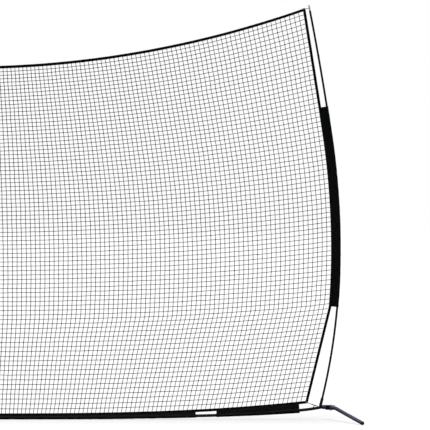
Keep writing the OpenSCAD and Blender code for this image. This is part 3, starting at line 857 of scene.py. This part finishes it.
def cloth_half(place, gap):
    """Half of a sleeve's girth at a station."""
    radius, neck, sewn = place[3:6]
    start = Vector((radius * math.cos(ARC_END), radius * math.sin(ARC_END)))
    return radius * (math.pi / 2 + ARC_END) + (Vector((gap, neck)) - start).length + sewn - neck


def sleeve_lines(station, count, insets, cloth):
    """Rows for stitches along a sleeve's sewn edge, on both faces; insets are from that edge."""
    lines = []
    face_out_by = TAPE_HALF + cloth.thickness + 0.0003
    for inset in insets:
        for face in (-1, 1):
            points = []
            for i in range(count + 1):
                x, z, heading, _, _, sewn, _ = station(0.003 + 0.994 * i / count)
                points.append(off_tube(x, z, heading, sewn - inset, face * face_out_by))
            lines.append((points, plane_way(0, 0, face)))
    return lines


def hem_lines(station, u, cloth):
    """A row of stitches across a sleeve, along its hem."""
    x, z, heading, radius, neck, sewn, sag = station(u)
    gap = sewn_gap(cloth)
    lines = []
    for face in (-1, 1):
        points = []
        for i in range(25):
            spot, facing = fold_at(i / 24 * 0.80, radius, gap, neck, sewn)
            spot = hang(spot + facing * (cloth.thickness / 2 + 0.0008), sag)
            points.append(off_tube(x, z, heading, spot.y, face * spot.x))
        lines.append((points, plane_way(0, 0, face)))
    return lines


def sleeve_seams(name, station, length, count, insets, cloth):
    """A sleeve's stitches: along its sewn edge and across both its hems."""
    lines = sleeve_lines(station, count, insets, cloth)
    for u in (cloth.hem * HEM_SEAM / length, 1 - cloth.hem * HEM_SEAM / length):
        lines += hem_lines(station, u, cloth)
    return stitches(name, lines, cloth)


class ElasticLoop:
    """A taut loop of cord between two places in the net's plane: through a grommet at a and round a post
    at b, with its two runs lying bend off the plane on each side."""

    def __init__(self, a, b, bend, radius):
        self.a, self.bend, self.radius = a, bend, radius
        self.way = (b - a).normalized()
        self.span = (b - a).length
        upward = self.way.orthogonal()
        self.rise = plane_way(upward.x, upward.y)
        self.straight = self.span - 2 * bend
        self.turn = math.pi * bend
        self.length = 2 * (self.straight + self.turn)

    def spot(self, s):
        """A place and heading along the loop, from the middle of its turn round the post."""
        s = (s + self.length / 2) % self.length - self.length / 2
        side = 1 if s >= 0 else -1
        s = abs(s)
        if s < self.turn / 2:
            a = s / self.bend
            far, off = self.span - self.bend + self.bend * math.cos(a), self.bend * math.sin(a)
            ahead, aside = -math.sin(a), math.cos(a)
        elif s < self.turn / 2 + self.straight:
            far, off = self.span - self.bend - (s - self.turn / 2), self.bend
            ahead, aside = -1.0, 0.0
        else:
            a = (s - self.turn / 2 - self.straight) / self.bend
            far, off = self.bend - self.bend * math.sin(a), self.bend * math.cos(a)
            ahead, aside = -math.cos(a), -math.sin(a)
        place = self.a + self.way * far
        heading = plane_way(*(self.way * ahead * side), aside)
        return on_plane(place.x, place.y, side * off), heading

    def tube(self, name, start, stop, count, around, radius, closed=False):
        """A tube along part of the loop; radius(u, v) is its radius."""

        def place(u, v):
            spot, heading = self.spot(start + (stop - start) * u)
            turn = 2 * math.pi * v
            out = self.rise * math.cos(turn) + heading.cross(self.rise) * math.sin(turn)
            return spot + out * radius(u, v)

        piece = lay_out(name, count, around, place, (stop - start, 2 * math.pi * self.radius))
        edit(piece, weld, *(() if closed else (close_ends,)), face_out)
        smooth(piece, 60)
        return piece

    def cord(self, name):
        """The cord all round the loop."""

        def radius(u, v):
            return self.radius * (1 + 0.012 * wander(51, u * 160, v * 8))

        return self.tube(name, 0.0, self.length, 128, 14, radius, closed=True)

    def whipping(self, name, start, stop, turn_width):
        """Turns of thread laid close round the cord from start to stop along the loop."""
        turns = round((stop - start) / turn_width)

        def radius(u, v):
            ridge = 0.25 * turn_width * abs(math.sin(math.pi * (turns * u + v)))
            end = 1 - step_up(min(u, 1 - u) * turns, 0.0, 1.2)
            return self.radius + 0.45 * turn_width + ridge - 0.55 * turn_width * end

        return self.tube(name, start, stop, turns * 6, 16, radius)


def mirror_name(stem, side):
    """The name of a piece that each side has."""
    return stem + ("_left" if side == LEFT else "_right")


def mirror_over():
    bpy.ops.transform.mirror(constraint_axis=(True, False, False), center_override=(0, 0, 0))


def put_on_side(piece, side):
    """Turns a right-hand piece into a left-hand one where the side is the left."""
    if side == LEFT:
        edit(piece, mirror_over, face_out)
    return piece


class BuildStage(bpy.types.Operator):
    """Adds the camera, the pale floor and the soft light"""
    bl_idname = "rebound.stage"
    bl_label = "Stage"
    bl_options = {"REGISTER", "UNDO"}

    def execute(self, context):
        nothing_selected()
        bpy.ops.object.camera_add(location=(CAMERA_X, BASE_DEPTH - CAMERA_DISTANCE, CAMERA_Z),
                                  rotation=(math.pi / 2, 0, 0))
        camera = context.object
        camera.data.sensor_width = SENSOR_WIDTH
        camera.data.lens = SENSOR_WIDTH * CAMERA_DISTANCE / VIEW_WIDTH
        camera.data.clip_end = 400.0
        context.scene.camera = camera

        bpy.ops.mesh.primitive_plane_add(size=FLOOR_SIZE, location=(0, 0, -FLOOR_DROP))
        floor = context.object
        floor.name = "floor"
        floor.data.materials.append(white_to_the_eye("pale_floor", FLOOR_TONE, FLOOR_BOUNCE))

        bpy.ops.object.light_add(type="SUN", rotation=SUN_TURN)
        sun = context.object
        sun.name = "soft_overhead"
        sun.data.energy = SUN_POWER
        sun.data.angle = SUN_SPREAD

        studio_world(context.scene)
        context.scene.view_settings.view_transform = "Standard"
        return {"FINISHED"}


class DressNet(bpy.types.Operator):
    """Adds the knotted mesh in place of the plain lattice"""
    bl_idname = "rebound.net"
    bl_label = "Net"
    bl_options = {"REGISTER", "UNDO"}

    def execute(self, context):
        net = context.scene.rebound_net
        paint = context.scene.rebound_colours
        cord = twine("net_twine", paint.twine)
        upright = strand_set("net_strands_upright", net, across=False)
        across = strand_set("net_strands_across", net, across=True)
        carry(upright, cord, instead_of=["net_panel"])
        carry(across, cord)

        spots_of = net_grid("knot_spots", net)
        side = net.columns + 1
        rolls = random.Random(11)
        spots = {LEFT: [], RIGHT: []}
        for i, point in enumerate(spots_of.data.vertices):
            if i % side in (0, net.columns) or i // side in (0, net.rows):
                continue
            roll = Matrix.Rotation(rolls.uniform(0.5, 1.1), 4, "Y")
            turn = roll @ Matrix.Scale(rolls.uniform(0.86, 1.12), 4)
            half = LEFT if i % side < side // 2 else RIGHT
            spots[half].append(Matrix.Translation(point.co) @ turn)
        bpy.data.objects.remove(spots_of)
        # The knots take the net twine darkened to 0.85: painted shade in the tight knots.
        shaded_knot_cord = twine("shaded_knot_twine", shade(paint.twine, 0.85), "Object", 260.0)
        for half in (LEFT, RIGHT):
            model = bead((net.knot, net.knot * 0.72, net.knot * 0.84))
            knots = repeat(mirror_name("net_knots", half), model, spots[half])
            carry(knots, shaded_knot_cord)
        return {"FINISHED"}


class DressTapes(bpy.types.Operator):
    """Adds the woven tapes round the net, with their stitching"""
    bl_idname = "rebound.tapes"
    bl_label = "Tapes"
    bl_options = {"REGISTER", "UNDO"}

    def execute(self, context):
        net = context.scene.rebound_net
        cloth = context.scene.rebound_cloth
        paint = context.scene.rebound_colours
        weave = tape_weave("tape_weave", paint.tape)
        sewing = thread("tape_thread", paint.thread)
        width = net.tape_width
        runs = (("top", top_z, -width, TOP_CORNER.x - 0.001, TOP_TAPE, 20),
                ("bottom", low_z, width, LOW_CORNER.x - 0.001, BOTTOM_TAPE, 30))
        for word, edge, inward, reach, length, seed in runs:
            def outer(u):
                x = (2 * u - 1) * reach
                return x, edge(x)

            def inner(u):
                x = (2 * u - 1) * reach
                return x, edge(x) + inward

            made = tape(word + "_tape", outer, inner, 520, length, seed, net)
            carry(made, weave, instead_of=[word + "_webbing"])
            seam = stitches(word + "_tape_stitches", tape_lines(outer, inner, 260, TAPE_SEAMS), cloth)
            carry(seam, sewing)

        low, high = LOW_CORNER.y + 0.002, TOP_CORNER.y - 0.004

        def side_outer(u):
            z = low + (high - low) * u
            return side_x(z), z

        def side_inner(u):
            z = low + (high - low) * u
            return side_x(z) - width, z

        for side in (LEFT, RIGHT):
            made = tape(mirror_name("side_tape", side), side_outer, side_inner, 300, high - low, 40, net)
            carry(put_on_side(made, side), weave, instead_of=[mirror_name("side_webbing", side)])
            seam = stitches(mirror_name("side_tape_stitches", side),
                            tape_lines(side_outer, side_inner, 150, TAPE_SEAMS), cloth)
            carry(put_on_side(seam, side), sewing)
        return {"FINISHED"}


class DressSideSleeves(bpy.types.Operator):
    """Adds the sleeves that hold the net's sides on the poles"""
    bl_idname = "rebound.side_sleeves"
    bl_label = "Side Sleeves"
    bl_options = {"REGISTER", "UNDO"}

    def execute(self, context):
        cloth = context.scene.rebound_cloth
        paint = context.scene.rebound_colours
        fabric = sleeve_cloth("sleeve_cloth", paint.cloth)
        sewing = thread("sleeve_thread", paint.thread)
        low, high = SIDE_SLEEVE
        length = high - low
        radius = POLE_RADIUS + cloth.slack + cloth.thickness / 2

        def station(u):
            x, z, heading = pole_at(low + length * u)
            return x, z, heading, radius, 0.030, SIDE_SLEEVE_WIDTH, 0.0

        for side in (LEFT, RIGHT):
            made, girth = sleeve(mirror_name("side_sleeve_cloth", side), station, length, 230, 30,
                                 3.0 if side == RIGHT else 5.0, cloth)
            carry(put_on_side(made, side), fabric,
                  instead_of=[mirror_name("side_sleeve", side)])
            seam = sleeve_seams(mirror_name("side_sleeve_stitches", side), station, length, 170,
                                (0.004, 0.011), cloth)
            carry(put_on_side(seam, side), sewing)
        return {"FINISHED"}


class DressBaseSleeves(bpy.types.Operator):
    """Adds the three sleeves that hold the net's bottom edge on the base"""
    bl_idname = "rebound.base_sleeves"
    bl_label = "Base Sleeves"
    bl_options = {"REGISTER", "UNDO"}

    def execute(self, context):
        cloth = context.scene.rebound_cloth
        fabric = bpy.data.materials["sleeve_cloth"]
        sewing = bpy.data.materials["sleeve_thread"]
        radius = TUBE_RADIUS + cloth.slack + cloth.thickness / 2

        def base_station(s, sag=0.0):
            x, z, heading = walk(BASE_PATH, abs(s))
            rise = low_z(x) - z
            sign = 1 if s >= 0 else -1
            return sign * x, z, sign * heading, radius, rise + 0.001, rise + 0.014, sag

        def middle(u):
            return base_station((2 * u - 1) * MIDDLE_SLEEVE)

        made, girth = sleeve("middle_sleeve_cloth", middle, 2 * MIDDLE_SLEEVE, 420, 26, 11.0, cloth)
        carry(made, fabric, instead_of=["base_sleeve_middle"])
        seam = sleeve_seams("middle_sleeve_stitches", middle, 2 * MIDDLE_SLEEVE, 400, (0.003, 0.009), cloth)
        carry(seam, sewing)

        first, last = END_SLEEVE

        def outer(u):
            return base_station(first + (last - first) * u, cloth.sag * u ** 1.5)

        for side in (LEFT, RIGHT):
            made, girth = sleeve(mirror_name("end_sleeve_cloth", side), outer, last - first, 90, 30,
                                 23.0 if side == RIGHT else 29.0, cloth)
            carry(put_on_side(made, side), fabric,
                  instead_of=[mirror_name("base_sleeve", side)])
            seam = sleeve_seams(mirror_name("end_sleeve_stitches", side), outer, last - first, 80,
                                (0.003, 0.009), cloth)
            carry(put_on_side(seam, side), sewing)
        return {"FINISHED"}


class DressElastics(bpy.types.Operator):
    """Adds the elastic loops at the net's corners, whipped where the ends of their cord join"""
    bl_idname = "rebound.elastics"
    bl_label = "Elastic Loops"
    bl_options = {"REGISTER", "UNDO"}

    def execute(self, context):
        cords = context.scene.rebound_cords
        paint = context.scene.rebound_colours
        sheath = braid("elastic_braid", paint.elastic, paint.fleck)
        pale = thread("pale_whipping", shade(paint.elastic, 0.8))
        dark = thread("dark_whipping", paint.whipping)
        radius = cords.elastic / 2

        tip = Vector(pole_at(sum(length for length, _ in POLE_PATH) + TIP_GROOVE)[:2])
        top = TOP_CORNER - Vector((GROMMET_INSET + 0.003, GROMMET_INSET))
        round_tip = TIP_GROOVE_RADIUS + radius + CORD_GAP
        past_tip = tip + (tip - top).normalized() * round_tip
        low = LOW_CORNER + Vector((-GROMMET_INSET - 0.001, GROMMET_INSET))
        hook_top = base_at(HOOK_X)[1] + TUBE_RADIUS + HOOK_RISE
        in_hook = Vector((HOOK_X, hook_top - HOOK_WIRE - radius - CORD_GAP))
        upper = ElasticLoop(top, past_tip, round_tip, radius)
        lower = ElasticLoop(low, in_hook, HOOK_WIRE + radius + 2 * CORD_GAP, radius)
        joined = upper.turn / 2 + upper.straight * 0.5
        half = cords.upper_whipping / 2
        half_lower = cords.lower_whipping / 2
        for side in (LEFT, RIGHT):
            cord = upper.cord(mirror_name("top_elastic_cord", side))
            whipped = upper.whipping(mirror_name("top_elastic_whipping", side), joined - half, joined + half,
                                     cords.whipping_turn)
            self.dress(cord, whipped, sheath, pale, mirror_name("top_elastic", side), side)
            cord = lower.cord(mirror_name("bottom_elastic_cord", side))
            whipped = lower.whipping(mirror_name("bottom_elastic_whipping", side), -half_lower, half_lower,
                                     cords.whipping_turn)
            self.dress(cord, whipped, sheath, dark, mirror_name("bottom_elastic", side), side)
        return {"FINISHED"}

    def dress(self, cord, whipped, sheath, sewing, node, side):
        """Puts a loop and its whipping on their side of the net, with their materials."""
        carry(put_on_side(cord, side), sheath, instead_of=[node])
        carry(put_on_side(whipped, side), sewing)


def repaint(node, material):
    """Gives a solid of the frame its finish."""
    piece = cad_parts[node]
    piece.data.materials.clear()
    piece.data.materials.append(material)


class FinishMetalwork(bpy.types.Operator):
    """Gives the tubes, poles, feet and small hardware their finishes"""
    bl_idname = "rebound.metalwork"
    bl_label = "Metalwork"
    bl_options = {"REGISTER", "UNDO"}

    def execute(self, context):
        paint = context.scene.rebound_colours
        finishes = {
            powder_coat("tube_coat", paint.tube): ["base_middle_tube", "base_inner_tube", "base_outer_tube",
                                                   "base_end_tube", "pole_socket"],
            powder_coat("leg_coat", paint.leg, 0.46, 0.02): ["foot_leg"],
            # The hubs take the leg paint made a tenth brighter, a lit copy of it: painted highlight on their
            # tops.
            powder_coat("hub_coat_painted_highlight", shade(paint.leg, 1.1), 0.42, 0.03): ["foot_hub"],
            pole_gloss("pole_resin", paint.pole): ["pole_lower", "pole_middle", "pole_upper"],
            bare_metal("tip_metal", paint.tip, 0.34, (300, 300, 2500)): ["pole_tip"],
            bare_metal("spigot_metal", paint.tip, 0.4): ["pole_spigots"],
            bare_metal("zinc_plate", paint.zinc, 0.32): ["base_joint_plugs", "pivot_bolts", "pivot_nuts",
                                                         "snap_button", "leg_bush"],
            bare_metal("spring_steel", shade(paint.zinc, 0.8), 0.28): ["snap_spring"],
            bare_metal("hook_plate", paint.hook, 0.4): ["base_hooks"],
            bare_metal("grommet_plate", shade(paint.hook, 0.8), 0.36): ["corner_grommets"],
            moulded("cap_plastic", paint.plastic): ["hub_caps", "leg_plug", "leg_tip"],
        }
        for material, stems in finishes.items():
            for stem in stems:
                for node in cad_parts:
                    if node in (stem, stem + "_left", stem + "_right"):
                        repaint(node, material)
        return {"FINISHED"}


class FlexSprings(bpy.types.Operator):
    """Puts a welded, smooth-shaded copy in spring steel in place of each spring under the snap buttons"""
    bl_idname = "rebound.springs"
    bl_label = "Snap Springs"
    bl_options = {"REGISTER", "UNDO"}

    def execute(self, context):
        steel = bpy.data.materials["spring_steel"]
        for side, word in ((LEFT, "left"), (RIGHT, "right")):
            node = mirror_name("snap_spring", side)
            nothing_selected()
            leaf = bpy.data.objects.new(node + "_leaf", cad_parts[node].data.copy())
            context.scene.collection.objects.link(leaf)
            edit(leaf, weld)
            smooth(leaf, 30)
            carry(leaf, steel, instead_of=[node])
            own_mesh(leaf)
        return {"FINISHED"}


class ReboundPanel(bpy.types.Panel):
    """The rebound net's sizes, colours and steps"""
    bl_idname = "VIEW3D_PT_rebound_net"
    bl_label = "Rebound Net"
    bl_space_type = "VIEW_3D"
    bl_region_type = "UI"
    bl_category = "Rebound Net"

    def draw(self, context):
        layout = self.layout
        scene = context.scene
        for group in (scene.rebound_net, scene.rebound_cloth, scene.rebound_cords, scene.rebound_colours):
            box = layout.box()
            for key in group.__annotations__:
                box.prop(group, key)
        for step in STEPS:
            layout.operator(step.bl_idname)


STEPS = (BuildStage, DressNet, DressTapes, DressSideSleeves, DressBaseSleeves, DressElastics, FinishMetalwork,
         FlexSprings)
CLASSES = (NetSizes, ClothSizes, CordSizes, Colours) + STEPS + (ReboundPanel,)


def register():
    for kind in CLASSES:
        bpy.utils.register_class(kind)
    bpy.types.Scene.rebound_net = bpy.props.PointerProperty(type=NetSizes)
    bpy.types.Scene.rebound_cloth = bpy.props.PointerProperty(type=ClothSizes)
    bpy.types.Scene.rebound_cords = bpy.props.PointerProperty(type=CordSizes)
    bpy.types.Scene.rebound_colours = bpy.props.PointerProperty(type=Colours)


def unregister():
    del bpy.types.Scene.rebound_net, bpy.types.Scene.rebound_cloth
    del bpy.types.Scene.rebound_cords, bpy.types.Scene.rebound_colours
    for kind in reversed(CLASSES):
        bpy.utils.unregister_class(kind)


def main():
    """Builds the whole net step by step."""
    register()
    bpy.ops.rebound.stage()
    bpy.ops.rebound.net()
    bpy.ops.rebound.tapes()
    bpy.ops.rebound.side_sleeves()
    bpy.ops.rebound.base_sleeves()
    bpy.ops.rebound.elastics()
    bpy.ops.rebound.metalwork()
    bpy.ops.rebound.springs()
    nothing_selected()


if __name__ == "__main__":
    main()
